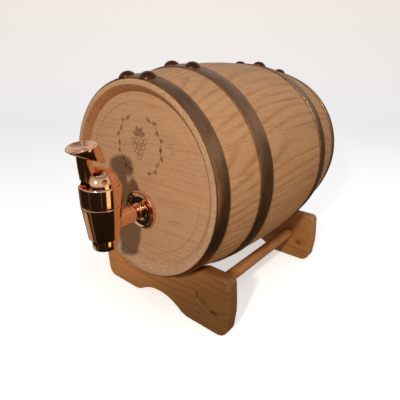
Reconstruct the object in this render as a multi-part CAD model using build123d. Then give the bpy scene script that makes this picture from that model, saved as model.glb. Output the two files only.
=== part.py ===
from build123d import *
import os
from math import atan2, cos, degrees, hypot, radians, sin, sqrt

# A small oak wine barrel lying on a two-board cradle, with a self-closing tap in its front head.
# Row frame: +X to the right seen from the front, +Y from the tap towards the back, +Z up.
# The origin is on the floor, under the middle of the whole object. All lengths are in millimetres.
# Inside this file the barrel is drawn in its own frame: y = 0 at the front rim, z = 0 on its axis.

# ---------------------------------------------------------------- driving dimensions
# barrel
BARREL_LENGTH = 189.4
END_RADIUS = 70.0          # outside, at both rims
BELLY_RADIUS = 80.4        # outside, half way along
BELLY_WALL = 9.0           # stave thickness at the belly
STAVE_COUNT = 24
FIRST_JOINT_ANGLE = 3.9    # degrees from the top towards +X
AXIS_HEIGHT = 111.5        # barrel axis above the floor

# chime: the stave ends that stand out past each head
CHIME_DEPTH = 4.7
CHIME_FLAT = 3.3           # width of the square-cut end face
CROZE_WIDTH = 4.5
CROZE_RADIUS = 64.0
INNER_END_RADIUS = 61.8

# heads
HEAD_THICKNESS = 9.0
HEAD_CLEARANCE = 0.1
SCRIBE_RADIUS = 55.0
SCRIBE_WIDTH = 0.8
SCRIBE_DEPTH = 0.5

# hoops: name, first y, last y, middle angle of the two rivets
HOOP_THICKNESS = 0.9
HOOP_GAP = 0.06
HOOPS = (
    ("front_chime", 0.6, 10.6, 0.0),
    ("front_quarter", 39.2, 52.2, 2.3),
    ("rear_quarter", 133.0, 146.0, 1.5),
    ("rear_chime", 178.2, 188.8, 0.0),
)
RIVET_RADIUS = 5.6
RIVET_HEIGHT = 3.2
RIVET_SPACING = 20.5       # between the two rivets of a hoop, round the barrel

# bung
BUNG_TOP_RADIUS = 7.0
BUNG_TAPER = 0.05          # radius lost per millimetre of depth
BUNG_LENGTH = 12.0
BUNG_CLEARANCE = 0.08
BUNG_RECESS = 0.2

# stand
BOARD_THICKNESS = 11.5
BOARD_HEIGHT = 48.5
BOARD_FOOT_HALF = 67.6
BOARD_WAIST_HALF = 69.4
BOARD_TOP_HALF = 67.9
FRONT_BOARD_Y = 20.0
REAR_BOARD_Y = 165.0
CRADLE_CLEARANCE = 0.35
ARCH_HALF = 26.0
ARCH_HEIGHT = 10.3
DOWEL_RADIUS = 5.0
DOWEL_X = 44.3
DOWEL_Z = 25.3
DOWEL_RECESS = 1.2         # dowel ends sit below the outer faces of the boards

# tap
TAP_Y = -29.3              # vertical axis of the tap, in front of the rim
ARM_Z = -21.5              # axis of the arm and shank
BODY_LOW = -30.5
BODY_LOW_RADIUS = 10.7
BODY_STEP = -7.3
BODY_STEP_RADIUS = 13.55
BODY_NECK_RADIUS = 11.4
BODY_TOP = 2.2
CHAMBER_RADIUS = 8.6
CHAMBER_FLOOR = -28.6
NOZZLE_SOCKET_RADIUS = 7.2
CAP_RADIUS = 13.85
CAP_RIM = 6.5
CAP_FLOOR = 5.6
CAP_CEILING = 2.6
THREAD_GAP = 0.08
NOZZLE_BOTTOM = -38.4
NOZZLE_RADIUS = 8.7
NOZZLE_TIP_RADIUS = 8.4
NOZZLE_BORE = 5.2
ARM_RADIUS = 7.0
ARM_END_RADIUS = 6.5
ARM_END_Y = -3.2
NECK_RADIUS = 5.4
SHANK_RADIUS = 5.5
SHANK_BORE = 3.25
SHANK_END = 27.0
FLANGE_RADIUS = 14.7
FLANGE_FRONT = 1.7
GASKET_THICKNESS = 0.6
GASKET_RADIUS = 13.2
SHANK_GASKET = 2.0
SHANK_GASKET_RADIUS = 11.5
NUT_FLATS = 18.0
NUT_LENGTH = 6.0

# lever, stem and valve
EAR_RADIUS = 12.6
EAR_HALF_WIDTH = 10.6
EAR_TOP = 17.2
EAR_CORNER = 7.0
EAR_DOME = [(12.5, 0), (12.5, 6.2), (12.1, 8.2), (11.4, 10.4), (10.4, 12.6), (9.0, 14.6), (7.2, 16.1), (5.0, 17.0)]
SLOT_HALF = 4.0
LEVER_HALF = 3.65
PIVOT_Y = TAP_Y - 4.0
PIVOT_Z = 11.0
PIVOT_RADIUS = 1.6
LINK_RADIUS = 1.2
LINK_SLOT = 0.35           # clearance each side of the link pin in the lever
TONGUE_HALF = 1.5
FORK_HALF = 1.9
STEM_RADIUS = 2.3
STEM_TOP = 4.2             # the round stem ends low enough to stay under the lever when lifted
RUNNING_GAP = 0.06
PISTON_RADIUS = 8.3
PISTON_LOW = -12.5
PISTON_TOP = -8.3
O_RING_WIRE = 1.0
SEAL_GAP = 0.1
SPRING_RADIUS = 5.4
SPRING_WIRE = 0.6
SPRING_TURNS = 3.5
PADDLE_BELLY = 11.6
LEVER_TIP_Y = -50.09

# ---------------------------------------------------------------- derived values and helpers
MID = BARREL_LENGTH / 2
BULGE = BELLY_RADIUS - END_RADIUS
OUTER_ARC = (MID ** 2 + BULGE ** 2) / (2 * BULGE)
Y_SHIFT = -(LEVER_TIP_Y + BARREL_LENGTH) / 2
HEAD_BACK = CHIME_DEPTH + HEAD_THICKNESS
PLACE = Pos(0, Y_SHIFT, AXIS_HEIGHT)
TAP = Pos(0, TAP_Y, 0)
SHANK_AXIS = Axis((0, 0, ARM_Z), (0, 1, 0))
STAVE_ANGLE = 360 / STAVE_COUNT
BUNG_ANGLE = FIRST_JOINT_ANGLE - STAVE_ANGLE / 2


def barrel_radius(y):
    """Outside radius of the staves at a distance y from the front rim."""
    return BELLY_RADIUS - OUTER_ARC + sqrt(OUTER_ARC ** 2 - (y - MID) ** 2)


def barrel_slope(y):
    """Angle in degrees between the stave surface and the barrel axis at y."""
    return degrees(atan2(MID - y, sqrt(OUTER_ARC ** 2 - (y - MID) ** 2)))


def on_axis(points):
    """A closed face from (radius, height) points, ready to revolve about Z."""
    return make_face(Plane.XZ * Polyline(*points, close=True))


def turned(points):
    """A solid of revolution about Z from (radius, height) points."""
    return revolve(on_axis(points), axis=Axis.Z)


def turned_on_shank(points):
    """A solid of revolution about the shank axis from (radius, y) points."""
    return Pos(0, 0, ARM_Z) * Rot(-90, 0, 0) * turned([(r, y) for r, y in points])


def rod(radius, low, high):
    """A vertical round bar on the Z axis."""
    return Pos(0, 0, (low + high) / 2) * Cylinder(radius, high - low)


def rod_x(radius, half, y, z):
    """A round bar along X."""
    return Pos(0, y, z) * Rot(0, 90, 0) * Cylinder(radius, 2 * half)


def rod_y(radius, low, high, x, z):
    """A round bar along Y."""
    return Pos(x, (low + high) / 2, z) * Rot(90, 0, 0) * Cylinder(radius, high - low)


# ---------------------------------------------------------------- barrel
def stave_profile():
    """Half section of the barrel wall in the XY plane: x is the radius, y runs along the barrel."""
    flat = END_RADIUS - CHIME_FLAT
    lip = flat - CHIME_DEPTH
    groove_end = CHIME_DEPTH + CROZE_WIDTH

    def end(mirror):
        pts = [
            (END_RADIUS, 0),
            (flat, 0),
            (lip, CHIME_DEPTH),
            (CROZE_RADIUS, CHIME_DEPTH),
            (CROZE_RADIUS, groove_end),
            (INNER_END_RADIUS, groove_end),
        ]
        return [(r, BARREL_LENGTH - y) if mirror else (r, y) for r, y in pts]

    front = Polyline(*end(False))
    back = Polyline(*end(True))
    outer = ThreePointArc((END_RADIUS, 0), (BELLY_RADIUS, MID), (END_RADIUS, BARREL_LENGTH))
    inner = ThreePointArc(
        (INNER_END_RADIUS, groove_end),
        (BELLY_RADIUS - BELLY_WALL, MID),
        (INNER_END_RADIUS, BARREL_LENGTH - groove_end),
    )
    return make_face([*front.edges(), *back.edges(), outer.edge(), inner.edge()])


def bung_frame():
    """Local frame on the belly: +Z leaves the barrel through the bung."""
    return Pos(0, MID, 0) * Rot(0, BUNG_ANGLE, 0)


def bung_cone(extra, top):
    """The tapered bung, or its hole when extra is the clearance."""
    low = BELLY_RADIUS - BUNG_LENGTH
    r_low = BUNG_TOP_RADIUS - BUNG_TAPER * BUNG_LENGTH + extra
    r_top = BUNG_TOP_RADIUS + BUNG_TAPER * (top - BELLY_RADIUS) + extra
    return bung_frame() * turned([(0, low), (r_low, low), (r_top, top), (0, top)])


def staves():
    wedge = revolve(stave_profile(), axis=Axis.Y, revolution_arc=STAVE_ANGLE)
    nodes = {}
    for i in range(STAVE_COUNT):
        start = FIRST_JOINT_ANGLE + (i - 1) * STAVE_ANGLE
        solid = Rot(0, start - 90, 0) * wedge
        if i == 0:
            nodes["bung_stave"] = solid - bung_cone(BUNG_CLEARANCE, BELLY_RADIUS + 3)
        else:
            nodes[f"stave_{i + 1:02d}"] = solid
    return nodes


def bung():
    return bung_cone(0, BELLY_RADIUS - BUNG_RECESS)


def head(front):
    """A turned head: full radius in the croze, rebated behind, with a scribed ring on its face."""
    rim = CROZE_RADIUS - HEAD_CLEARANCE
    step = CHIME_DEPTH + CROZE_WIDTH
    inner = INNER_END_RADIUS - 2 * HEAD_CLEARANCE
    r_a = SCRIBE_RADIUS - SCRIBE_WIDTH / 2
    r_b = SCRIBE_RADIUS + SCRIBE_WIDTH / 2
    floor = CHIME_DEPTH + SCRIBE_DEPTH
    pts = [
        (0, CHIME_DEPTH),
        (r_a, CHIME_DEPTH),
        (r_a, floor),
        (r_b, floor),
        (r_b, CHIME_DEPTH),
        (rim, CHIME_DEPTH),
        (rim, step),
        (inner, step),
        (inner, HEAD_BACK),
        (0, HEAD_BACK),
    ]
    disc = Rot(-90, 0, 0) * turned(pts)
    if front:
        return disc - rod_y(SHANK_RADIUS + THREAD_GAP, 0, HEAD_BACK + 1, 0, ARM_Z)
    return Pos(0, BARREL_LENGTH, 0) * mirror(disc, about=Plane.XZ)


def hoop(first, last):
    """A flat strap bent into a cone that follows the staves."""
    a = barrel_radius(first) + HOOP_GAP
    b = barrel_radius(last) + HOOP_GAP
    tilt = radians(barrel_slope((first + last) / 2))
    out = HOOP_THICKNESS / cos(tilt)
    return Rot(-90, 0, 0) * turned([(a, first), (a + out, first), (b + out, last), (b, last)])


def rivets(first, last, middle):
    """Two dome-headed rivets standing on the hoop's lapped joint."""
    y = (first + last) / 2
    base = barrel_radius(y) + HOOP_GAP + HOOP_THICKNESS / cos(radians(barrel_slope(y))) + 0.02
    ball = (RIVET_RADIUS ** 2 + RIVET_HEIGHT ** 2) / (2 * RIVET_HEIGHT)
    cap = Pos(0, 0, RIVET_HEIGHT - ball) * Sphere(ball)
    cap &= Pos(0, 0, ball) * Box(4 * ball, 4 * ball, 2 * ball)
    half = degrees(RIVET_SPACING / 2 / base)
    domes = []
    for angle in (middle - half, middle + half):
        seat = Rot(0, angle, 0) * Pos(0, y, base) * Rot(barrel_slope(y), 0, 0)
        domes.append(seat * cap)
    return Compound(children=[d.solid() for d in domes])


# ---------------------------------------------------------------- stand
def board(first, inner_edge):
    """One cradle board: a scooped top, rounded corners and a low arch between two feet."""
    right = ThreePointArc((BOARD_FOOT_HALF, 0), (BOARD_WAIST_HALF, BOARD_HEIGHT / 2), (BOARD_TOP_HALF, BOARD_HEIGHT))
    left = mirror(right, about=Plane.YZ)
    base = Line((-BOARD_FOOT_HALF, 0), (BOARD_FOOT_HALF, 0))
    top = Line((-BOARD_TOP_HALF, BOARD_HEIGHT), (BOARD_TOP_HALF, BOARD_HEIGHT))
    face = make_face([base.edge(), right.edge(), top.edge(), left.edge()])
    face = fillet(face.vertices().group_by(Axis.Y)[0], 8.5)
    face = fillet(face.vertices().group_by(Axis.Y)[-1].sort_by(Axis.X)[0], 4.7)
    face = fillet(face.vertices().group_by(Axis.Y)[-1].sort_by(Axis.X)[-1], 4.7)
    arch = (ARCH_HALF ** 2 + ARCH_HEIGHT ** 2) / (2 * ARCH_HEIGHT)
    face -= Pos(0, ARCH_HEIGHT - arch) * Circle(arch)
    scoop = barrel_radius(inner_edge) + CRADLE_CLEARANCE
    face -= Pos(0, AXIS_HEIGHT) * Circle(scoop)
    toes = [v for v in face.vertices() if abs(v.Y) < 0.01 and abs(abs(v.X) - ARCH_HALF) < 0.01]
    face = fillet(toes, 18)
    tips = [v for v in face.vertices() if abs(v.Y - BOARD_HEIGHT) < 0.01 and abs(v.X) < 50]
    face = fillet(tips, 1.5)
    solid = extrude(Plane.XZ * face, -BOARD_THICKNESS)
    return Pos(0, first, 0) * solid


def stand():
    nodes = {}
    low = {"front": FRONT_BOARD_Y, "rear": REAR_BOARD_Y}
    inner = {"front": FRONT_BOARD_Y + BOARD_THICKNESS, "rear": REAR_BOARD_Y}
    holes = [rod_y(DOWEL_RADIUS, 0, BARREL_LENGTH, s * DOWEL_X, DOWEL_Z) for s in (-1, 1)]
    for name in low:
        nodes[f"{name}_cradle_board"] = board(low[name], inner[name]) - holes[0] - holes[1]
    for name, side in (("left", -1), ("right", 1)):
        start = FRONT_BOARD_Y + DOWEL_RECESS
        end = REAR_BOARD_Y + BOARD_THICKNESS - DOWEL_RECESS
        nodes[f"{name}_dowel"] = rod_y(DOWEL_RADIUS, start, end, side * DOWEL_X, DOWEL_Z)
    return {name: Pos(0, Y_SHIFT, 0) * solid for name, solid in nodes.items()}


# ---------------------------------------------------------------- tap
def tap_body():
    """Tapered body, arm and threaded shank in one casting, bored through for the wine."""
    shell = turned([
        (0, BODY_LOW),
        (BODY_LOW_RADIUS - 1.2, BODY_LOW),
        (BODY_LOW_RADIUS, BODY_LOW + 1.2),
        (BODY_STEP_RADIUS, BODY_STEP),
        (BODY_NECK_RADIUS, BODY_STEP),
        (BODY_NECK_RADIUS, BODY_TOP),
        (0, BODY_TOP),
    ])
    arm = turned_on_shank([
        (0, TAP_Y),
        (ARM_RADIUS, TAP_Y),
        (ARM_END_RADIUS, ARM_END_Y - 2),
        (ARM_END_RADIUS - 0.9, ARM_END_Y - 0.5),
        (NECK_RADIUS, ARM_END_Y),
        (NECK_RADIUS, -1.4),
        (NECK_RADIUS + 0.8, -1.1),
        (NECK_RADIUS + 0.8, 0.5),
        (NECK_RADIUS, 0.8),
        (SHANK_RADIUS, 2.0),
        (SHANK_RADIUS, SHANK_END),
        (0, SHANK_END),
    ])
    chamber = rod(CHAMBER_RADIUS, CHAMBER_FLOOR, BODY_TOP + 1)
    socket = rod(NOZZLE_SOCKET_RADIUS, BODY_LOW - 1, CHAMBER_FLOOR + 1)
    bore = rod_y(SHANK_BORE, TAP_Y, SHANK_END + 1, 0, ARM_Z)
    return TAP * shell + arm - TAP * chamber - TAP * socket - bore


def tap_cap():
    """Screwed cap: the polished band and the two ears that hold the lever."""
    band = turned([
        (STEM_RADIUS + RUNNING_GAP, CAP_CEILING),
        (BODY_NECK_RADIUS + THREAD_GAP, CAP_CEILING),
        (BODY_NECK_RADIUS + THREAD_GAP, BODY_STEP + 0.15),
        (BODY_STEP_RADIUS + 0.1, BODY_STEP + 0.15),
        (CAP_RADIUS, CAP_RIM - 1.4),
        (CAP_RADIUS - 0.5, CAP_RIM - 0.3),
        (CAP_RADIUS - 1.1, CAP_RIM),
        (EAR_RADIUS - 0.2, CAP_FLOOR),
        (STEM_RADIUS + RUNNING_GAP, CAP_FLOOR),
    ])
    height = EAR_TOP - CAP_CEILING - 1
    side = Pos(0, CAP_CEILING + 1 + height / 2) * Rectangle(2 * EAR_HALF_WIDTH, height)
    side = fillet(side.vertices().group_by(Axis.Y)[-1], EAR_CORNER)
    ears = extrude(Plane.YZ * side, EAR_RADIUS, both=True)
    ears &= turned([(0, 0)] + EAR_DOME + [(0, EAR_TOP)])
    ears -= Pos(0, 0, CAP_FLOOR + 15) * Box(2 * SLOT_HALF, 4 * EAR_RADIUS, 30)
    ears -= rod(STEM_RADIUS + RUNNING_GAP, 0, EAR_TOP + 1)
    cap = TAP * (band + ears)
    return cap - rod_x(PIVOT_RADIUS, 2 * EAR_RADIUS, PIVOT_Y, PIVOT_Z)


def pivot_pin():
    half = sqrt(10.4 ** 2 - (PIVOT_Y - TAP_Y) ** 2) - 0.3
    return rod_x(PIVOT_RADIUS, half, PIVOT_Y, PIVOT_Z)


def tap_nozzle():
    """Screwed-in outlet with the valve seat on its top face."""
    return TAP * turned([
        (NOZZLE_BORE, NOZZLE_BOTTOM),
        (NOZZLE_TIP_RADIUS - 0.9, NOZZLE_BOTTOM),
        (NOZZLE_TIP_RADIUS, NOZZLE_BOTTOM + 1.0),
        (NOZZLE_RADIUS, BODY_LOW - 0.5),
        (NOZZLE_RADIUS - 0.4, BODY_LOW),
        (NOZZLE_SOCKET_RADIUS - THREAD_GAP, BODY_LOW),
        (NOZZLE_SOCKET_RADIUS - THREAD_GAP, CHAMBER_FLOOR + 0.4),
        (NOZZLE_BORE, CHAMBER_FLOOR + 0.4),
    ])


def tap_flange():
    """Loose dished flange that covers the hole in the head."""
    back = CHIME_DEPTH - GASKET_THICKNESS
    return turned_on_shank([
        (SHANK_RADIUS + THREAD_GAP, back),
        (FLANGE_RADIUS, back),
        (FLANGE_RADIUS, back - 1.1),
        (FLANGE_RADIUS - 0.6, FLANGE_FRONT + 0.2),
        (FLANGE_RADIUS - 1.4, FLANGE_FRONT),
        (FLANGE_RADIUS - 2.3, FLANGE_FRONT + 0.3),
        (FLANGE_RADIUS - 4.0, FLANGE_FRONT + 1.3),
        (SHANK_RADIUS + 1.5, FLANGE_FRONT + 1.5),
        (SHANK_RADIUS + THREAD_GAP, FLANGE_FRONT + 1.0),
    ])


def washer(radius, first, last):
    bore = SHANK_RADIUS + THREAD_GAP
    return turned_on_shank([(bore, first), (radius, first), (radius, last), (bore, last)])


def back_nut():
    start = HEAD_BACK + SHANK_GASKET
    hexagon = RegularPolygon(NUT_FLATS / 2, 6, major_radius=False)
    nut = extrude(hexagon, NUT_LENGTH) - Cylinder(SHANK_RADIUS + THREAD_GAP, 4 * NUT_LENGTH)
    return Pos(0, start, ARM_Z) * Rot(-90, 0, 0) * nut


# ---------------------------------------------------------------- lever and valve
def paddle_ring(half_x, half_y, y, z, tip):
    """One oval of the paddle; a positive tip raises its front edge."""
    way = (0, sin(radians(tip)), cos(radians(tip)))
    return Plane(origin=(0, y, z), x_dir=(1, 0, 0), z_dir=way) * Ellipse(half_x, half_y)


def lever_paddle():
    """Oval thumb paddle: a flaring cup, dished on top."""
    body = loft([
        paddle_ring(10.1, 11.8, -37.3, 24.8, 21.5),
        paddle_ring(10.9, PADDLE_BELLY, -38.6, 29.2, 8),
        paddle_ring(11.3, 8.6, -39.8, 33.2, -11),
    ])
    dish = loft([paddle_ring(9.3, 6.6, -39.8, 33.4, -11), paddle_ring(6.8, 4.6, -39.3, 31.0, -7)])
    return body - dish


def lever():
    """Lever forked over the stem, on the pivot pin: pushing the paddle down lifts the stem."""
    hub = Pos(PIVOT_Y, PIVOT_Z) * Circle(4.8)
    crank = make_face(Polyline((PIVOT_Y, PIVOT_Z - 4.3), (TAP_Y + 2.2, PIVOT_Z - 3.4),
                               (TAP_Y + 3.6, PIVOT_Z), (TAP_Y + 2.2, PIVOT_Z + 3.2),
                               (PIVOT_Y, PIVOT_Z + 4.6), close=True))
    neck = make_face(Polyline((PIVOT_Y - 2.8, PIVOT_Z - 3.8), (-41.5, 11.2), (-42.1, 18.0),
                              (-42.6, 29.0), (-34.8, 26.2), (-36.0, 20.5), (-35.0, 16.5),
                              (PIVOT_Y, PIVOT_Z + 4.6), close=True))
    profile = Sketch() + [hub, crank, neck]
    blade = extrude(Plane.YZ * profile, LEVER_HALF, both=True)
    blade = blade + lever_paddle()
    # the fork's front wall slopes away below the pivot, clear of the tongue at full tilt
    fork = make_face(Polyline((PIVOT_Y + 1.95, PIVOT_Z + 7.0), (PIVOT_Y + 1.95, PIVOT_Z - 0.6),
                              (PIVOT_Y - 0.9, PIVOT_Z - 6.0), (PIVOT_Y + 9.6, PIVOT_Z - 6.0),
                              (PIVOT_Y + 9.6, PIVOT_Z + 7.0), close=True))
    blade -= extrude(Plane.YZ * fork, FORK_HALF, both=True)
    slot_half = LINK_RADIUS + LINK_SLOT
    blade -= Pos(0, TAP_Y, PIVOT_Z) * Box(20, 1.2, 2 * slot_half)
    for dy in (-0.6, 0.6):
        blade -= rod_x(slot_half, 10, TAP_Y + dy, PIVOT_Z)
    return blade - rod_x(PIVOT_RADIUS + RUNNING_GAP, 10, PIVOT_Y, PIVOT_Z)


def link_pin():
    return rod_x(LINK_RADIUS, LEVER_HALF - 0.15, TAP_Y, PIVOT_Z)


def valve_stem():
    """Stem with a guide piston, a flat tongue for the link pin and a button for the seal."""
    groove = (PISTON_LOW + PISTON_TOP) / 2
    ring = PISTON_RADIUS - 1.0
    stem = turned([
        (0, -27.3), (1.6, -27.3), (1.6, -25.9), (STEM_RADIUS, -25.9), (STEM_RADIUS, PISTON_LOW),
        (PISTON_RADIUS, PISTON_LOW), (PISTON_RADIUS, groove - 0.6), (ring, groove - 0.6),
        (ring, groove + 0.6), (PISTON_RADIUS, groove + 0.6), (PISTON_RADIUS, PISTON_TOP),
        (STEM_RADIUS, PISTON_TOP), (STEM_RADIUS, STEM_TOP), (0, STEM_TOP),
    ])
    tongue = Pos(0, 0, 8.2) * Box(2 * TONGUE_HALF, 3.4, 8.4)
    tip = rod_x(1.7, TONGUE_HALF, 0, 12.4)
    return TAP * (stem + tongue + tip) - rod_x(LINK_RADIUS, 5, TAP_Y, PIVOT_Z)


def valve_seal():
    """Soft cup held on the stem's button."""
    low = CHAMBER_FLOOR + 0.4 + SEAL_GAP
    cup = turned([(0, low), (6.4, low), (6.4, low + 1.4), (4.2, low + 3.6), (0, low + 3.6)])
    button = rod(1.6, -27.3, -25.8) + rod(STEM_RADIUS, -25.9, -20)
    return TAP * (cup - button)


def stem_o_ring():
    groove = (PISTON_LOW + PISTON_TOP) / 2
    mean = CHAMBER_RADIUS - RUNNING_GAP - O_RING_WIRE / 2
    return TAP * Pos(0, 0, groove) * Torus(mean, O_RING_WIRE / 2)


def return_spring():
    low = PISTON_TOP + SPRING_WIRE + 0.05
    high = CAP_CEILING - SPRING_WIRE - 0.05
    path = Helix((high - low) / SPRING_TURNS, high - low, SPRING_RADIUS)
    start = Plane(origin=path @ 0, z_dir=path % 0)
    return TAP * Pos(0, 0, low) * sweep(start * Circle(SPRING_WIRE), path=path, is_frenet=True)


# ---------------------------------------------------------------- assembly
def build():
    barrel = dict(staves())
    barrel["front_head"] = head(True)
    barrel["rear_head"] = head(False)
    for name, first, last, middle in HOOPS:
        barrel[f"{name}_hoop"] = hoop(first, last)
        barrel[f"{name}_rivets"] = rivets(first, last, middle)
    barrel["bung"] = bung()
    barrel["tap_body"] = tap_body()
    barrel["tap_cap"] = tap_cap()
    barrel["tap_nozzle"] = tap_nozzle()
    barrel["tap_flange"] = tap_flange()
    barrel["flange_gasket"] = washer(GASKET_RADIUS, CHIME_DEPTH - GASKET_THICKNESS, CHIME_DEPTH)
    barrel["shank_gasket"] = washer(SHANK_GASKET_RADIUS, HEAD_BACK, HEAD_BACK + SHANK_GASKET)
    barrel["back_nut"] = back_nut()
    barrel["lever_pivot_pin"] = pivot_pin()
    barrel["tap_lever"] = lever()
    barrel["link_pin"] = link_pin()
    barrel["valve_stem"] = valve_stem()
    barrel["valve_seal"] = valve_seal()
    barrel["stem_o_ring"] = stem_o_ring()
    barrel["return_spring"] = return_spring()
    nodes = {name: PLACE * solid for name, solid in barrel.items()}
    nodes.update(stand())
    return nodes


os.makedirs("parts", exist_ok=True)
for node, shape in build().items():
    export_step(shape, f"parts/{node}.step")
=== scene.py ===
import bmesh
import bpy
from bpy.props import FloatProperty, FloatVectorProperty, IntProperty, PointerProperty
from math import asin, atan2, cos, degrees, pi, radians, sin, sqrt, tau
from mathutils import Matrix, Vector


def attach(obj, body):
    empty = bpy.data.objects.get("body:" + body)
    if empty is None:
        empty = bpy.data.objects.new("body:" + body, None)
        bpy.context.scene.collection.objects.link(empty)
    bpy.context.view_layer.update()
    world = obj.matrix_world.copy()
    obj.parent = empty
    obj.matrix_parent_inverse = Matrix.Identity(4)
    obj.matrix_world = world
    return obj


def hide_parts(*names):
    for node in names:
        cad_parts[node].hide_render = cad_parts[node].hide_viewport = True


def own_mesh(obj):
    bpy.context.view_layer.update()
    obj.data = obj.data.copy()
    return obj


bl_info = {
    "name": "Wine barrel with tap",
    "version": (1, 0, 0),
    "blender": (4, 5, 0),
    "location": "3D View > Sidebar > Barrel",
    "description": "Builds a small oak wine barrel on its stand, piece by piece",
    "category": "Add Mesh",
}

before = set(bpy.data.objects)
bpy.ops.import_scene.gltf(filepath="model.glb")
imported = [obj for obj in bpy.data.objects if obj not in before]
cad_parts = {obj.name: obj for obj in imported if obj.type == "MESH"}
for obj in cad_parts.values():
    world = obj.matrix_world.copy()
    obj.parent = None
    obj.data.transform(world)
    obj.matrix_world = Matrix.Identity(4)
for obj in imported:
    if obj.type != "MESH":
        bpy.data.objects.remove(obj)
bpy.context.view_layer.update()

# ---------------------------------------------------------------- sizes
# Sizes are in millimetres, in the barrel's own frame: y = 0 at the front rim, z = 0 on its axis.
MM = 0.001
LENGTH = 189.4
MID = LENGTH / 2
END_RADIUS = 70.0
BELLY_RADIUS = 80.4
BELLY_WALL = 9.0
STAVES = 24
STAVE_TURN = 360.0 / STAVES
FIRST_JOINT = 3.9
AXIS_HEIGHT = 111.5
Y_SHIFT = -69.655
BUNG_TURN = FIRST_JOINT - STAVE_TURN / 2
CHIME_DEPTH = 4.7
HEAD_BACK = 13.7
CROZE_END = 9.2
CROZE_RADIUS = 64.0
INNER_END_RADIUS = 61.8
TAP_Y = -29.3
ARM_Z = -21.5
PIVOT_Y = -33.3
PIVOT_Z = 11.0
EAR_DOME = [(12.5, 0), (12.5, 6.2), (12.35, 7.2), (12.1, 8.2), (11.8, 9.3), (11.4, 10.4), (10.95, 11.5),
    (10.4, 12.6), (9.75, 13.6), (9.0, 14.55), (8.15, 15.4), (7.2, 16.1), (6.15, 16.65),
    (5.0, 17.0), (3.0, 17.2)]
EAR_HALF = 10.6
EAR_CORNER = 7.0
EAR_TOP = 17.2
PIVOT_PIN_HALF = 9.6
BUNG_RADIUS = 7.0
BUNG_TAPER = 0.05
BUNG_DEPTH = 12.0
HOOP_GAP = 0.06
HOOP_THICK = 0.9
RIVET_SPREAD = 10.25
LAP_LIFT = 0.80
LAP_THICK = 0.32
LAP_REACH = 17.5
BOARD_THICK = 11.5
BOARD_TOP = 48.5
ARCH_HALF = 26.0
ARCH_RISE = 10.3
DOWEL_X = 44.3
DOWEL_Z = 25.3 - AXIS_HEIGHT
# degrees left free at each side of a stave
STAVE_GAP = 0.012
# vertices closer than this, in metres, are one
WELD = 2e-6
OUTER_ARC = (MID ** 2 + (BELLY_RADIUS - END_RADIUS) ** 2) / (2 * (BELLY_RADIUS - END_RADIUS))
HOOPS = (
    ("front_chime", 0.6, 10.6, 0.0),
    ("front_quarter", 39.2, 52.2, 2.3),
    ("rear_quarter", 133.0, 146.0, 1.5),
    ("rear_chime", 178.2, 188.8, 0.0),
)
AXIS_POINT = Vector((0, Y_SHIFT * MM, AXIS_HEIGHT * MM))


def place(x, y, z):
    """A point of the barrel's own frame, in metres in the shared frame."""
    return Vector((x * MM, (y + Y_SHIFT) * MM, (z + AXIS_HEIGHT) * MM))


def barrel_radius(y):
    """Outside radius of the staves at y."""
    return BELLY_RADIUS - OUTER_ARC + sqrt(OUTER_ARC ** 2 - (y - MID) ** 2)


def barrel_slope(y):
    """Tilt of the stave surface against the barrel's axis at y, in radians."""
    return asin((MID - y) / OUTER_ARC)


# ---------------------------------------------------------------- settings
def colour(name, text, value):
    return FloatVectorProperty(name=name, description=text, default=value, size=3, min=0, max=1,
        subtype="COLOR")


def length(name, text, value):
    return FloatProperty(name=name, description=text, default=value * MM, min=0, unit="LENGTH")


class BarrelSettings(bpy.types.PropertyGroup):
    """Sizes and colours of the staves, heads, hoops and bung"""
    joint_ease: length("Joint ease", "Rounding of the long edges where two staves meet", 0.05)
    oak_light: colour("Oak, pale rings", "Colour of the soft early wood", (0.50, 0.295, 0.165))
    oak_dark: colour("Oak, dark rings", "Colour of the hard late wood", (0.33, 0.165, 0.078))
    oak_end: colour("Oak, end grain", "Colour of the sawn stave ends", (0.52, 0.33, 0.20))
    # painted shade: the tone painted on the upper left of the chime wall, for its shade and the warm light
    # bounced off the head
    chime_wall_shade: colour("Oak, chime wall", "Colour inside the stave ends", (0.42, 0.20, 0.085))
    mark: colour("Burned mark", "Colour of the charred lines on the head", (0.19, 0.088, 0.043))
    bronze: colour("Hoop bronze", "Colour of the hoops", (0.34, 0.20, 0.115))
    copper: colour("Rivet copper", "Colour of the rivets", (0.14, 0.055, 0.03))


class StandSettings(bpy.types.PropertyGroup):
    """Sizes and colours of the cradle"""
    edge: length("Edge rounding", "Radius sanded onto the edges of the boards", 1.1)
    pine_light: colour("Pine, pale rings", "Colour of the soft early wood", (0.40, 0.185, 0.062))
    pine_dark: colour("Pine, dark rings", "Colour of the hard late wood", (0.25, 0.095, 0.028))


class TapSettings(bpy.types.PropertyGroup):
    """Finish of the tap"""
    metal: colour("Plating", "Colour of the polished plating", (0.93, 0.56, 0.36))
    polish: FloatProperty(name="Polish", description="Roughness of the plating", default=0.055,
        min=0, max=1)
    round_steps: IntProperty(name="Round steps", description="Faces round each turned piece",
        default=96, min=24, max=256)


class StageSettings(bpy.types.PropertyGroup):
    """Floor, light and camera"""
    floor: colour("Floor", "Colour of the floor and backdrop", (0.86, 0.855, 0.85))
    key_power: FloatProperty(name="Key light", description="Power of the main light",
        default=3.0, min=0, unit="POWER")
    room: FloatProperty(name="Room light", description="Strength of the light from the room",
        default=1.0, min=0)


# ---------------------------------------------------------------- modelling helpers
def put_down():
    """Leaves edit mode and lets go of everything that is selected."""
    if bpy.context.object and bpy.context.object.mode != "OBJECT":
        bpy.ops.object.mode_set(mode="OBJECT")
    bpy.ops.object.select_all(action="DESELECT")


def take(piece):
    """Selects one piece and makes it the active one."""
    put_down()
    piece.select_set(True)
    bpy.context.view_layer.objects.active = piece


def settle(piece):
    """Puts a piece's place, turn and scale into its mesh."""
    take(piece)
    bpy.ops.object.transform_apply(location=True, rotation=True, scale=True)


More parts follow.
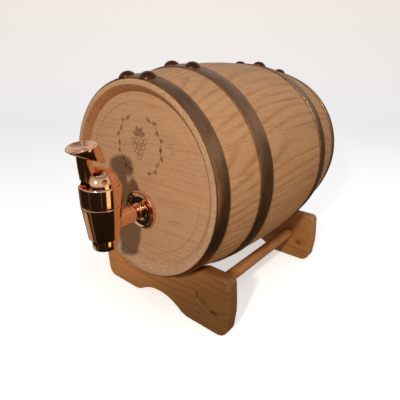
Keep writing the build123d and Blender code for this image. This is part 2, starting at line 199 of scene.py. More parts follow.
def drop_vertex(point, origin):
    """Adds a tiny plane, merges it into one vertex and moves that to a point."""
    bpy.ops.mesh.primitive_plane_add(size=0.001, location=origin)
    if bpy.context.object.mode == "OBJECT":
        bpy.ops.object.mode_set(mode="EDIT")
        bpy.ops.mesh.select_mode(type="VERT")
        bpy.ops.mesh.select_all(action="SELECT")
    bpy.ops.mesh.merge(type="CENTER")
    bpy.ops.transform.translate(value=point - origin)


def outline(name, points, origin=AXIS_POINT):
    """A new piece whose mesh is one open line of extruded vertices. Stays in edit mode."""
    put_down()
    drop_vertex(points[0], origin)
    piece = bpy.context.object
    piece.name = name
    piece.data.name = name
    trace(points)
    return piece


def trace(points):
    """Extrudes the selected vertex along the rest of the points."""
    for here, there in zip(points, points[1:]):
        bpy.ops.mesh.extrude_region_move(TRANSFORM_OT_translate={"value": there - here})


def fill_outline():
    """Joins the ends of the outline in hand and fills it with a face."""
    bpy.ops.mesh.select_all(action="SELECT")
    bpy.ops.mesh.remove_doubles(threshold=WELD)
    bpy.ops.mesh.edge_face_add()


def close_mesh():
    """Merges doubled vertices and turns every face outwards."""
    bpy.ops.mesh.select_all(action="SELECT")
    bpy.ops.mesh.remove_doubles(threshold=WELD)
    bpy.ops.mesh.normals_make_consistent(inside=False)
    bpy.ops.object.mode_set(mode="OBJECT")


def turned(name, points, centre, axis, steps, origin=AXIS_POINT):
    """A piece turned on a lathe: an outline spun a whole turn round an axis."""
    piece = outline(name, points, origin)
    bpy.ops.mesh.select_all(action="SELECT")
    bpy.ops.mesh.spin(steps=steps, angle=tau, center=centre, axis=axis)
    close_mesh()
    return piece


def along(pairs, z=ARM_Z, x=0.0):
    """Points from (radius, y) pairs for a piece turned on an axis that runs front to back."""
    return [place(x + r, y, z) for r, y in pairs]


def turned_along(name, pairs, steps, z=ARM_Z, x=0.0):
    """A piece turned on an axis that runs front to back, from (radius, y) pairs."""
    return turned(name, along(pairs, z, x), place(x, 0, z), (0, 1, 0), steps)


def turned_upright(name, pairs, steps):
    """A piece turned on the tap's upright axis, from (radius, z) pairs."""
    points = [place(r, TAP_Y, z) for r, z in pairs]
    return turned(name, points, place(0, TAP_Y, 0), (0, 0, 1), steps)


def slab(name, points, way):
    """A flat closed outline, filled and pulled into a solid."""
    piece = outline(name, points + points[:1])
    fill_outline()
    bpy.ops.mesh.extrude_region_move(TRANSFORM_OT_translate={"value": way})
    close_mesh()
    return piece


def loft(name, rings):
    """A closed skin over a row of rings with the same number of points."""
    count = len(rings[0])
    piece = outline(name, rings[0])
    for ring in rings[1:]:
        drop_vertex(ring[0], AXIS_POINT)
        trace(ring)
    for i in range(len(rings)):
        pick_range(piece, i * count, 1, (i + 1) * count - 1)
        bpy.ops.mesh.edge_face_add()
    for i in range(len(rings) - 1):
        pick_range(piece, i * count, 2 * count)
        bpy.ops.mesh.bridge_edge_loops()
    for i in (0, len(rings) - 1):
        pick_range(piece, i * count, count)
        bpy.ops.mesh.edge_face_add()
    close_mesh()
    return piece


def pick_range(piece, first, count, extra=None):
    """Selects a run of vertices, by the order they were made in."""
    mesh = bmesh.from_edit_mesh(piece.data)
    mesh.verts.ensure_lookup_table()
    chosen = set(range(first, first + count))
    if extra is not None:
        chosen.add(extra)
    for v in mesh.verts:
        v.select_set(v.index in chosen)
    mesh.select_flush_mode()
    bmesh.update_edit_mesh(piece.data)


def apply_modifiers(piece):
    """Applies every modifier of a piece, in order."""
    take(piece)
    for modifier in list(piece.modifiers):
        bpy.ops.object.modifier_apply(modifier=modifier.name)


def ease_edges(piece, width, segments=2, angle=35.0):
    """Rounds every edge sharper than an angle."""
    bevel = piece.modifiers.new("ease", "BEVEL")
    bevel.width = width
    bevel.segments = segments
    bevel.limit_method = "ANGLE"
    bevel.angle_limit = radians(angle)
    bevel.harden_normals = False
    apply_modifiers(piece)


def cut(piece, cutter, operation="DIFFERENCE"):
    """Cuts one solid with another and throws the cutter away."""
    boolean = piece.modifiers.new("cut", "BOOLEAN")
    boolean.object = cutter
    boolean.operation = operation
    boolean.solver = "EXACT"
    apply_modifiers(piece)
    bpy.data.objects.remove(cutter)


def smooth(piece, levels=1):
    """Rounds a whole shape off with a subdivision surface."""
    surface = piece.modifiers.new("round", "SUBSURF")
    surface.levels = levels
    surface.render_levels = levels
    apply_modifiers(piece)


def copy_of(piece, name):
    """A copy with its own mesh."""
    take(piece)
    bpy.ops.object.duplicate()
    copy = bpy.context.object
    copy.name = name
    copy.data.name = name
    return copy


def join(first, others):
    """Joins several solids into the first one."""
    take(first)
    for other in others:
        other.select_set(True)
    bpy.ops.object.join()
    return first


def turn(piece, degrees_about_axis):
    """Turns a piece round the barrel's axis, from the top towards +X."""
    piece.rotation_euler.y = radians(degrees_about_axis)


def finish(piece, body, materials, stands_for=(), angle=32.0):
    """Settles a piece at the origin, shades it, gives it its materials, hangs it under its body's empty and
    hides the CAD parts it stands for.
    """
    settle(piece)
    bpy.ops.object.shade_smooth_by_angle(angle=radians(angle))
    for material in materials:
        piece.data.materials.append(material)
    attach(piece, body)
    if stands_for:
        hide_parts(*stands_for)
    put_down()
    return piece


def paint_faces(piece, index, wanted):
    """Gives the faces that a test picks the material of another slot."""
    for face in piece.data.polygons:
        if wanted(face):
            face.material_index = index


# ---------------------------------------------------------------- material helpers
class Nodes:
    """A node tree that grows one node at a time."""

    def __init__(self, tree):
        self.tree = tree

    def node(self, kind, inputs=None, output=0, **settings):
        """Adds a node, sets or links its inputs and gives back one of its outputs."""
        node = self.tree.nodes.new(kind)
        for key, value in settings.items():
            setattr(node, key, value)
        for key, value in (inputs or {}).items():
            if isinstance(value, bpy.types.NodeSocket):
                self.tree.links.new(value, node.inputs[key])
            else:
                node.inputs[key].default_value = value
        return node.outputs[output]

    def split(self, vector):
        """The three parts of a vector."""
        parts = self.tree.nodes.new("ShaderNodeSeparateXYZ")
        self.tree.links.new(vector, parts.inputs[0])
        return tuple(parts.outputs)

    def blend(self, amount, first, second, how="MIX"):
        """Mixes two colours."""
        shades = {6: first, 7: second}
        for index, value in shades.items():
            if not isinstance(value, bpy.types.NodeSocket):
                shades[index] = (*value, 1)
        return self.node("ShaderNodeMix", {0: amount, **shades}, output=2,
            data_type="RGBA", blend_type=how)

    def ramp(self, value, stops):
        """A colour that eases from stop to stop, each a (position, shade) pair."""
        node = self.tree.nodes.new("ShaderNodeValToRGB")
        node.color_ramp.interpolation = "EASE"
        elements = node.color_ramp.elements
        while len(elements) < len(stops):
            elements.new(0.5)
        for element, (position, shade) in zip(elements, stops):
            element.position = position
            element.color = (*shade, 1)
        self.tree.links.new(value, node.inputs[0])
        return node.outputs[0]


class Finish(Nodes):
    """A material that is mixed one node at a time."""

    def __init__(self, name, base, roughness, metallic=0.0):
        self.material = bpy.data.materials.new(name)
        self.material.use_nodes = True
        super().__init__(self.material.node_tree)
        self.shader = self.tree.nodes["Principled BSDF"]
        self.shader.inputs["Base Color"].default_value = (*base, 1)
        self.shader.inputs["Roughness"].default_value = roughness
        self.shader.inputs["Metallic"].default_value = metallic

    def sum(self, operation, a, b=0.0):
        return self.node("ShaderNodeMath", {0: a, 1: b}, operation=operation)

    def plus(self, a, b):
        return self.sum("ADD", a, b)

    def less(self, a, b):
        return self.sum("SUBTRACT", a, b)

    def times(self, a, b):
        return self.sum("MULTIPLY", a, b)

    def long_side(self, a, b):
        """The long side of a right triangle with short sides a and b."""
        return self.sum("SQRT", self.plus(self.times(a, a), self.times(b, b)))

    def join(self, x, y, z):
        return self.node("ShaderNodeCombineXYZ", {0: x, 1: y, 2: z})

    def stretch(self, x, y, z, kx, ky, kz):
        """A vector whose three parts are scaled on their own."""
        return self.join(self.times(x, kx), self.times(y, ky),
            self.times(z, kz))

    def noise(self, vector, scale=1.0, detail=2.0, rough=0.5):
        return self.node("ShaderNodeTexNoise", {"Vector": vector, "Scale": scale, "Detail": detail,
                "Roughness": rough})

    def fade(self, value, low, high, start=0.0, end=1.0):
        """Maps low..high smoothly onto start..end."""
        return self.node("ShaderNodeMapRange", {0: value, 1: low, 2: high, 3: start, 4: end},
            interpolation_type="SMOOTHSTEP")

    def point(self):
        """The point on the piece."""
        return self.tree.nodes.new("ShaderNodeTexCoord").outputs["Object"]

    def where(self):
        """The point on the piece, as three numbers."""
        return self.split(self.point())

    def round_the_barrel(self):
        """Distance along the barrel, angle from the top towards +X and distance from the axis."""
        x, y, z = self.where()
        up = self.less(z, AXIS_HEIGHT * MM)
        angle = self.sum("ARCTAN2", x, up)
        return y, angle, self.long_side(x, up)

    def colour(self, socket):
        self.tree.links.new(socket, self.shader.inputs["Base Color"])

    def roughness(self, socket):
        self.tree.links.new(socket, self.shader.inputs["Roughness"])

    def bump(self, height, strength, distance):
        normal = self.node("ShaderNodeBump", {"Height": height, "Strength": strength,
                "Distance": distance})
        self.tree.links.new(normal, self.shader.inputs["Normal"])


def knot_gaps(f, u, v, look, squeeze):
    """How far each knot of a board is from here, with its size."""
    for knot_u, knot_v, size in look.get("knots", ()):
        yield f.long_side(f.times(f.less(u, knot_u), squeeze), f.less(v, knot_v)), size


def wood(f, u, v, w, light, dark, look):
    """Growth rings, fibres and pores of a board: u runs along it, v across it, w through it."""
    def grain(lengthwise, crosswise, **settings):
        return f.noise(f.stretch(u, v, w, lengthwise, crosswise, crosswise), **settings)

    broad = grain(9.0, 30.0, detail=2.0)
    broad = f.times(f.less(broad, 0.5), look["waver"])
    close = grain(60.0, 300.0, detail=2.0)
    close = f.times(f.less(close, 0.5), look["ripple"])
    side = f.plus(v, look["side"])
    deep = f.plus(f.plus(w, look["deep"]), f.times(u, look["tilt"]))
    away = f.plus(f.plus(f.long_side(side, deep), broad), close)
    for gap, size in knot_gaps(f, u, v, look, 0.55):
        away = f.plus(away, f.fade(gap, 0.0, size * 3.2, size * 1.6, 0.0))
    ring = f.sum("FRACT", f.sum("DIVIDE", away, look["spacing"]))
    late = f.node("ShaderNodeFloatCurve", {1: ring})
    curve = late.node.mapping.curves[0]
    for position, level in ((0.50, 0.10), (0.84, 0.95), (0.93, 0.7)):
        curve.points.new(position, level)
    curve.points[0].location = (0.0, 0.08)
    curve.points[-1].location = (1.0, 0.08)
    late.node.mapping.update()
    patch = grain(16.0, 55.0, detail=2.0)
    late = f.times(late, f.fade(patch, 0.30, 0.70, look["faint"], look["rings"]))
    tone = f.blend(late, light, dark)
    blotch = grain(14.0, 34.0, detail=3.0, rough=0.6)
    tone = f.blend(f.fade(blotch, 0.45, 0.75, 0.0, 0.32), tone,
        f.blend(0.5, look["blush"], tone))
    fibre = grain(45.0, 1900.0, detail=3.0, rough=0.6)
    darker = f.blend(1.0, tone, (0.72, 0.66, 0.60), "MULTIPLY")
    tone = f.blend(f.fade(fibre, 0.35, 0.65, 0.0, 0.32), tone, darker)
    streak = grain(26.0, 420.0, detail=2.0)
    tone = f.blend(f.fade(streak, 0.50, 0.78, 0.0, 0.45), tone, dark)
    dash = grain(150.0, 1500.0, detail=1.0)
    pore = f.fade(dash, look["pores"], look["pores"] + 0.07)
    tone = f.blend(f.times(pore, 0.55), tone, look["pore"])
    for gap, size in knot_gaps(f, u, v, look, 0.7):
        tone = f.blend(f.fade(gap, size * 0.35, size, 0.75, 0.0), tone, look["pore"])
    if "heart" in look:
        # painted light and shadow: the board is painted paler at its left foot and darker towards its lower
        # right foot, for the light and the cast shadow that fall on it
        pale, brown = look["heart"]
        lean = f.plus(f.plus(u, f.times(v, -1.1)), broad)
        level = f.fade(lean, -0.075, 0.03, pale, brown)
        shade = f.join(level, f.times(level, 0.97), f.times(level, 0.88))
        tone = f.blend(1.0, tone, shade, "MULTIPLY")
    f.colour(tone)
    f.roughness(f.fade(fibre, 0.3, 0.7, look["rough"], look["rough"] + 0.14))
    height = f.less(f.plus(f.times(fibre, 0.35),
            f.times(late, 0.4)), pore)
    f.bump(height, look.get("bump", 0.35), 0.00022)
    f.shader.inputs["Specular IOR Level"].default_value = 0.35
    return f.material


def metal(name, base, roughness, patina, patina_amount, scale=260.0, bump=0.0):
    """A metal with slow patches of patina and handling marks."""
    f = Finish(name, base, roughness, 1.0)
    patch = f.noise(f.point(), scale=scale, detail=4.0, rough=0.6)
    f.colour(f.blend(f.fade(patch, 0.42, 0.72, 0.0, patina_amount), base, patina))
    wipe = f.noise(f.point(), scale=scale * 2.3, detail=3.0)
    f.roughness(f.fade(wipe, 0.35, 0.75, roughness, roughness * 1.7))
    if bump:
        f.bump(patch, bump, 0.0002)
    return f.material


def moulded(name, base, roughness, speckle=0.0, clear=0.0):
    """Rubber, silicone or plastic with a fine moulded grain."""
    f = Finish(name, base, roughness)
    grain = f.noise(f.point(), scale=1800.0, detail=2.0)
    f.colour(f.blend(f.fade(grain, 0.3, 0.7, 0.0, 0.35 + speckle), base,
            tuple(c * 0.7 for c in base)))
    f.roughness(f.fade(grain, 0.3, 0.7, roughness * 0.85, roughness * 1.1))
    f.bump(grain, 0.2, 0.0001)
    f.shader.inputs["Subsurface Weight"].default_value = clear
    return f.material


BLUSH = (0.47, 0.27, 0.19)
PORE = (0.16, 0.075, 0.035)
STAVE_LOOK = {"waver": 0.0042, "ripple": 0.0012, "side": 0.03, "deep": -0.045, "tilt": 0.03,
    "tint": (0.90, 0.85, 0.74), "spacing": 0.0042, "faint": 0.22, "rings": 0.74,
    "blush": BLUSH, "pores": 0.66, "pore": PORE, "rough": 0.50}
HEAD_LOOK = {"waver": 0.0085, "ripple": 0.0007, "side": 0.004, "deep": 0.085, "tilt": 0.02,
    "spacing": 0.0034, "faint": 0.03, "rings": 0.24, "blush": BLUSH, "pores": 0.66,
    "pore": PORE, "rough": 0.46, "bump": 0.12}
END_LOOK = {"waver": 0.004, "ripple": 0.0012, "side": 0.0, "deep": -0.03, "tilt": 0.0,
    "spacing": 0.0021, "faint": 0.08, "rings": 0.38, "blush": (0.62, 0.50, 0.42),
    "pores": 0.60, "pore": PORE, "rough": 0.62, "bump": 0.6}
PINE_LOOK = {"waver": 0.010, "ripple": 0.0014, "side": 0.012, "deep": 0.028, "tilt": 0.06,
    "spacing": 0.0052, "faint": 0.20, "rings": 0.70, "blush": (0.42, 0.17, 0.06),
    "pores": 0.72, "pore": (0.12, 0.045, 0.015), "rough": 0.44}
PINE_KNOTS = ((-0.0405, 0.0375, 0.0022), (0.0565, 0.018, 0.0028))


def stave_wood(name, light, dark, look):
    """Wood that follows the barrel round, with its own rings and tone in each stave."""
    f = Finish(name, light, look["rough"])
    y, angle, radius = f.round_the_barrel()
    part = f.sum("DIVIDE", f.less(angle, radians(FIRST_JOINT)), radians(STAVE_TURN))
    number = f.sum("FLOORED_MODULO", f.sum("FLOOR", part), STAVES)
    across = f.times(f.less(f.sum("FRACT", part), 0.5), 0.0205)
    luck = f.node("ShaderNodeTexWhiteNoise", {"W": number}, output=1, noise_dimensions="1D")
    three = f.tree.nodes.new("ShaderNodeSeparateColor")
    f.tree.links.new(luck, three.inputs[0])
    one, two, other = three.outputs
    across = f.plus(across, f.times(f.less(one, 0.5), 0.034))
    lengthwise = f.plus(y, f.times(two, 1.7))
    through = f.less(radius, f.times(f.less(two, 0.2), 0.016))
    through = f.plus(through, f.times(y, f.sum("MULTIPLY",
            f.less(other, 0.5), 0.06)))
    wood(f, lengthwise, across, through, light, dark, look)
    base = f.shader.inputs["Base Color"].links[0].from_socket
    warm = look.get("tint", (1.0, 1.0, 1.0))
    tint = f.blend(other, tuple(0.95 * c for c in warm), warm)
    if "wall" in look:
        # painted shade: the chime wall is painted darker and warmer in its upper left part, for the shade
        # there and the warm light bounced off the head, and fades to the tone of the stave ends
        x, _, z = f.where()
        lean = f.less(f.less(z, AXIS_HEIGHT * MM), f.times(x, 0.6))
        tint = f.blend(f.fade(lean, -0.03, 0.03), tint, look["wall"])
    f.colour(f.blend(1.0, base, tint, "MULTIPLY"))
    return f.material


def flat_wood(name, light, dark, look, lie):
    """Wood of a flat board. lie names which of x, y and z run along, across and through it."""
    f = Finish(name, light, look["rough"])
    axes = dict(zip("xyz", f.where()))
    u, v, w = (axes[letter] for letter in lie)
    return wood(f, u, v, w, light, dark, look)


# ---------------------------------------------------------------- barrel
def stave_outline():
    """Section of one stave, from the front end face round the outside to the back and inside."""
    points = []
    steps = 26
    for i in range(steps + 1):
        y = LENGTH * i / steps
        points.append((barrel_radius(y), y))
    back = [(66.7, 0.0), (62.0, CHIME_DEPTH), (CROZE_RADIUS, CHIME_DEPTH), (CROZE_RADIUS, CROZE_END)]
    points += [(r, LENGTH - y) for r, y in back]
    span = MID - CROZE_END
    drop = BELLY_RADIUS - BELLY_WALL - INNER_END_RADIUS
    inner_arc = (span ** 2 + drop ** 2) / (2 * drop)
    for i in range(15):
        y = -span + 2 * span * i / 14
        r = INNER_END_RADIUS + drop - inner_arc + sqrt(inner_arc ** 2 - y ** 2)
        points.append((r, MID - y))
    points += reversed(back)
    return [place(0, y, r) for r, y in points]


def faces_axis(face):
    """True for a face of a stave that looks towards the barrel's axis."""
    out = face.center - AXIS_POINT
    return face.normal.x * out.x + face.normal.z * out.z < -0.5 * sqrt(out.x ** 2 + out.z ** 2)


def build_staves(sizes):
    """One stave is spun through its share of the circle, eased, and copied round the barrel."""
    section = stave_outline()
    piece = outline("stave", section + section[:1])
    fill_outline()
    # the centre lies on the barrel's axis; the sweep runs from the top towards +X or back
    bpy.ops.mesh.spin(steps=6, angle=radians(STAVE_TURN - 2 * STAVE_GAP), center=AXIS_POINT,
        axis=(0, 1, 0))
    close_mesh()
    ends = [atan2(v.co.x, v.co.z) for v in piece.data.vertices]
    middle = (max(ends) + min(ends)) / 2
    ease_edges(piece, sizes.joint_ease, 2, 40)
    oak = stave_wood("stave_oak", sizes.oak_light, sizes.oak_dark, STAVE_LOOK)
    sawn = stave_wood("stave_end_oak", sizes.oak_end, sizes.oak_dark, END_LOOK)
    # the chime wall material paints shade and warm bounced light on the upper left of the wall
    wall = stave_wood("chime_oak_painted_shade", sizes.oak_end, sizes.oak_dark,
        dict(END_LOOK, wall=tuple(a / b for a, b in zip(sizes.chime_wall_shade, sizes.oak_end))))
    for i in range(STAVES):
        node = "bung_stave" if i == 0 else f"stave_{i + 1:02d}"
        copy = copy_of(piece, "wood_" + node)
        turn(copy, FIRST_JOINT + (i - 0.5) * STAVE_TURN - degrees(middle))
        if i == 0:
            settle(copy)
            cut(copy, bung_plug("bung_cutter", 0.08, BELLY_RADIUS + 3))
        finish(copy, "barrel", (oak, sawn, wall), (node,))
        paint_faces(copy, 1, lambda face: abs(face.normal.y) > 0.5)
        paint_faces(copy, 2, faces_axis)
    bpy.data.objects.remove(piece)


def bung_plug(name, extra, top):
    """The tapered bung, or the cutter for its hole."""
    low = BELLY_RADIUS - BUNG_DEPTH
    small = BUNG_RADIUS - BUNG_TAPER * BUNG_DEPTH + extra
    large = BUNG_RADIUS + BUNG_TAPER * (top - BELLY_RADIUS) + extra
    plug = turned(name, [place(r, MID, z) for r, z in ((0, low), (small, low), (large, top), (0, top))],
        place(0, MID, 0), (0, 0, 1), 48)
    turn(plug, BUNG_TURN)
    settle(plug)
    return plug


def build_bung(sizes):
    plug = bung_plug("bung_wood", 0.0, BELLY_RADIUS - 0.2)
    ease_edges(plug, 0.35 * MM, 2, 40)
    sawn = flat_wood("bung_end_oak", sizes.oak_end, sizes.oak_dark, END_LOOK, "zxy")
    finish(plug, "bung", (sawn,), ("bung",))


def build_heads(sizes):
    """Each head is turned with a scribed ring; the front one is bored for the tap."""
    rim = CROZE_RADIUS - 0.1
    inner = INNER_END_RADIUS - 0.2
    oak = flat_wood("head_oak", sizes.oak_light, sizes.oak_dark, HEAD_LOOK, "xzy")
    profile = [(0, CHIME_DEPTH), (54.45, CHIME_DEPTH), (54.75, CHIME_DEPTH + 0.4),
        (55.0, CHIME_DEPTH + 0.5), (55.25, CHIME_DEPTH + 0.4), (55.55, CHIME_DEPTH),
        (rim, CHIME_DEPTH), (rim, CROZE_END), (inner, CROZE_END), (inner, HEAD_BACK),
        (0, HEAD_BACK)]
    for name, flip in (("front_head", False), ("rear_head", True)):
        pairs = [(r, LENGTH - y if flip else y) for r, y in profile]
        disc = turned_along("wood_" + name, pairs, 128, 0.0)
        if not flip:
            cut(disc, turned_along("drill", [(0, 0), (5.6, 0), (5.6, 20), (0, 20)], 48))
        finish(disc, "barrel", (oak,), (name,), 25.0)


def build_mark(sizes):
    """A burned vine mark: a bunch of grapes under a leaf, between two sprigs."""
    parts = []
    face_y = CHIME_DEPTH - 0.04
    deep = Vector((0, 0.1 * MM, 0))
    centre = 26.0

    def stamp(points):
        # parts that overlap stand at slightly different depths
        front = face_y + 0.006 * (len(parts) % 5)
        outline_points = [place(x, front, centre + z) for x, z in points]
        parts.append(slab("mark_part", outline_points, deep))

    def leaf(x, z, heading, size):
        """A pointed leaf with its stalk at x, z."""
        points = []
        for t, s in ((0, 0), (0.2, 0.22), (0.45, 0.30), (0.75, 0.18), (1, 0), (0.75, -0.18),
            (0.45, -0.30), (0.2, -0.22)):
            points.append((x + size * (t * sin(heading) + s * cos(heading)),
                    z + size * (t * cos(heading) - s * sin(heading))))
        stamp(points)

    def ring(x, z, radius, wide):
        """A burned circle: a disc with a smaller one taken out of it."""
        disc = [(x + radius * cos(a), z + radius * sin(a)) for a in turns(20)]
        hole = [(x + (radius - wide) * cos(a), z + (radius - wide) * sin(a)) for a in turns(20)]
        stamp(disc)
        cutter = slab("hole", [place(px, face_y - 0.1, centre + pz) for px, pz in hole], deep * 4)
        cut(parts[-1], cutter)

    for row, wide in enumerate((4, 3, 2, 1)):
        for k in range(wide):
            ring((k - (wide - 1) / 2) * 4.3, 3.0 - row * 3.8, 2.1, 0.62)
    stamp([(-0.35, 5.2), (0.35, 5.2), (0.65, 11.6), (0.05, 11.8)])
    for heading in (-70, -22, 33, 75):
        leaf(0.3, 7.0, radians(heading), 7.0)
    for side in (-1, 1):
        for k in range(9):
            around = radians(side * (24 + 15.5 * k))
            lean = around + side * radians(58 if k % 2 else 112)
            leaf(21.5 * sin(around), 21.5 * cos(around), lean, 4.4)
        arc = [radians(side * (20 + 130 * i / 30)) for i in range(31)]
        edge = [(21.7 * sin(a), 21.7 * cos(a)) for a in arc]
        edge += [(21.2 * sin(a), 21.2 * cos(a)) for a in reversed(arc)]
        stamp(edge)
    mark = join(parts[0], parts[1:])
    mark.name = "burned_mark"
    mark.data.name = "burned_mark"
    char = Finish("charred_oak", sizes.mark, 0.8)
    patch = char.noise(char.point(), scale=420.0, detail=4.0, rough=0.65)
    char.colour(char.blend(char.fade(patch, 0.42, 0.70), sizes.mark, (0.30, 0.16, 0.085)))
    char.roughness(char.fade(patch, 0.3, 0.7, 0.65, 0.9))
    char.bump(patch, 0.4, 0.0002)
    finish(mark, "barrel", (char.material,))


def turns(count):
    """Angles once round, evenly spread."""
    return [tau * i / count for i in range(count)]


def build_hoops(sizes):
    """Hoops are cones of strap with eased edges and a lapped end between their rivets."""
    bronze = Finish("hoop_bronze", sizes.bronze, 0.34, 1.0)
    y, angle, radius = bronze.round_the_barrel()
    around = bronze.times(angle, 0.078)
    brushed = bronze.noise(bronze.join(bronze.times(around, 14.0),
            bronze.times(y, 1500.0), 0.0), detail=3.0)
    patch = bronze.noise(bronze.join(bronze.times(around, 60.0),
            bronze.times(y, 170.0), radius), detail=4.0, rough=0.6)
    tone = bronze.blend(bronze.fade(patch, 0.40, 0.72, 0.0, 0.7), sizes.bronze, (0.18, 0.09, 0.045))
    tone = bronze.blend(bronze.fade(brushed, 0.5, 0.8, 0.0, 0.35), tone, (0.36, 0.22, 0.13))
    bronze.colour(tone)
    bronze.roughness(bronze.fade(brushed, 0.3, 0.7, 0.34, 0.46))
    bronze.bump(brushed, 0.10, 0.00006)
    worn = metal("hoop_edge", (0.36, 0.20, 0.11), 0.32, (0.20, 0.10, 0.05), 0.7)
    for name, first, last, middle in HOOPS:
        half = (first + last) / 2
        a, b, bulge = (barrel_radius(y) + HOOP_GAP for y in (first, last, half))
        out = HOOP_THICK / cos(barrel_slope(half))
        section = [(a, first), (a + out, first), (bulge + out, half), (b + out, last), (b, last),
            (bulge, half)]
        hoop = turned_along(name + "_strap", section + section[:1], 144, 0.0)
        ease_edges(hoop, 0.26 * MM, 2, 40)
        finish(hoop, "barrel", (bronze.material, worn), (name + "_hoop",), 24.0)
        paint_faces(hoop, 1, lambda face: abs(face.normal.y) > 0.55)
        build_lap(name, first, last, middle, bronze.material)


def build_lap(name, first, last, middle, bronze):
    """The end of the strap that laps over under the rivets, as a thin curved plate."""
    half = (first + last) / 2
    low = [(barrel_radius(y) + LAP_LIFT, y) for y in (first + 0.25, half, last - 0.25)]
    high = [(r + LAP_THICK, y) for r, y in reversed(low)]
    plate = outline(name + "_lap", along(low + high + low[:1], 0.0))
    fill_outline()
    reach = degrees(LAP_REACH / barrel_radius(half))
    bpy.ops.mesh.spin(steps=14, angle=radians(2 * reach), center=AXIS_POINT, axis=(0, 1, 0))
    close_mesh()
    here = [atan2(v.co.x, v.co.z) for v in plate.data.vertices]
    ease_edges(plate, 0.18 * MM, 2, 40)
    turn(plate, middle - degrees((max(here) + min(here)) / 2))
    finish(plate, "barrel", (bronze,))


def build_rivets(sizes):
    """Broad domed rivets with a thin flat rim, in pairs on each hoop."""
    copper = metal("rivet_copper", sizes.copper, 0.26, (0.05, 0.022, 0.013), 0.75, 420.0, bump=0.12)
    for name, first, last, middle in HOOPS:
        half = (first + last) / 2
        tilt = barrel_slope(half)
        base = barrel_radius(half) + HOOP_GAP + HOOP_THICK / cos(tilt)
        domes = []
        for side in (-1, 1):
            dome = turned("dome", [place(r, half, base + z) for r, z in (
                    (0, 0.0), (5.6, 0.0), (5.62, 0.3), (5.4, 0.6), (5.1, 0.95), (4.6, 1.5), (3.85, 2.1),
                    (2.9, 2.65), (1.9, 3.0), (0.9, 3.16), (0, 3.2))],
                place(0, half, base), (0, 0, 1), 40, place(0, half, base))
            dome.rotation_euler.x = tilt
            settle(dome)
            bpy.context.scene.cursor.location = AXIS_POINT
            bpy.ops.object.origin_set(type="ORIGIN_CURSOR")
            turn(dome, middle + side * degrees(RIVET_SPREAD / (base + 0.02)))
            settle(dome)
            domes.append(dome)
        pair = join(domes[0], domes[1:])
        pair.name = name + "_rivet_heads"
        finish(pair, "barrel", (copper,), (name + "_rivets",), 50.0)


# ---------------------------------------------------------------- stand
def arc_points(cx, cz, radius, start, end, count):
    """Points on an arc, with angles in degrees from +X towards +Z."""
    return [(cx + radius * cos(radians(start + (end - start) * i / (count - 1))),
            cz + radius * sin(radians(start + (end - start) * i / (count - 1))))
        for i in range(count)]


def board_outline(scoop):
    """Right half of a cradle board's outline, from the middle of the arch to the scoop."""
    arch = (ARCH_HALF ** 2 + ARCH_RISE ** 2) / (2 * ARCH_RISE)
    toe = 18.0
    # the toe's fillet touches the floor line and the arch circle from outside
    arch_z = ARCH_RISE - arch
    toe_x = sqrt((arch + toe) ** 2 - (toe - arch_z) ** 2)
    touch = degrees(atan2(toe - arch_z, toe_x))
    points = arc_points(0, arch_z, arch, 90, touch, 10)
    points += arc_points(toe_x, toe, toe, touch - 180, -90, 6)[1:]
    side = (24.25 ** 2 + 1.65 ** 2) / (2 * 1.65)
    points += arc_points(68.0 - 8.5, 8.5, 8.5, -90, -8, 7)
    points += arc_points(69.4 - side, 24.25, side, -7.0 * 0.3, 5.5 * 0.3, 6)[1:-1]
    points += arc_points(68.25 - 4.7, BOARD_TOP - 4.7, 4.7, 4, 90, 6)
    lip = sqrt(scoop ** 2 - (AXIS_HEIGHT - BOARD_TOP) ** 2)
    points += [(lip + 1.7, BOARD_TOP), (lip + 0.6, 48.15)]
    edge_z = BOARD_TOP - 1.1 - AXIS_HEIGHT
    start = degrees(atan2(edge_z, sqrt(scoop ** 2 - edge_z ** 2)))
    points += arc_points(0, AXIS_HEIGHT, scoop, start, -90, 22)
    return points


def build_boards(sizes):
    """Two sanded boards with dowel holes, cut from the same shape."""
    def plank(name, lie, **look):
        return flat_wood(name, sizes.pine_light, sizes.pine_dark, dict(PINE_LOOK, **look), lie)

    pine = plank("stand_pine", "xzy", knots=PINE_KNOTS)
    # pine with painted light and shadow, for the front board and the front ends of its dowels
    heart = plank("stand_pine_heart", "xzy", knots=PINE_KNOTS, heart=(1.35, 0.50))
    for name, first, inner in (("front", 20.0, 31.5), ("rear", 165.0, 165.0)):
        half = board_outline(barrel_radius(inner) + 0.35)
        left = [(-x, z) for x, z in reversed(half)][1:-1]
        face = [place(x, first, z - AXIS_HEIGHT) for x, z in half + left]
        board = slab(name + "_cradle", face, Vector((0, BOARD_THICK * MM, 0)))
        for x in (-DOWEL_X, DOWEL_X):
            hole = [(0, first - 2), (5.0, first - 2), (5.0, first + 14), (0, first + 14)]
            cut(board, turned_along("bit", hole, 40, DOWEL_Z, x))
        ease_edges(board, sizes.edge, 3, 50)
        tone = heart if name == "front" else pine
        finish(board, "stand", (tone,), (name + "_cradle_board",), 30.0)
    peg = plank("dowel_pine", "yzx", deep=0.012, side=0.004, spacing=0.0024)
    for name, x in (("left", -DOWEL_X), ("right", DOWEL_X)):
        pairs = [(0, 21.2), (4.3, 21.2), (4.93, 21.9), (4.93, 174.6), (4.3, 175.3), (0, 175.3)]
        rod = turned_along(name + "_peg", pairs, 40, DOWEL_Z, x)
        finish(rod, "stand", (peg, heart), (name + "_dowel",))
        # the front end of each dowel takes the front board's painted light and shadow
        paint_faces(rod, 1, lambda face: face.normal.y < -0.9)


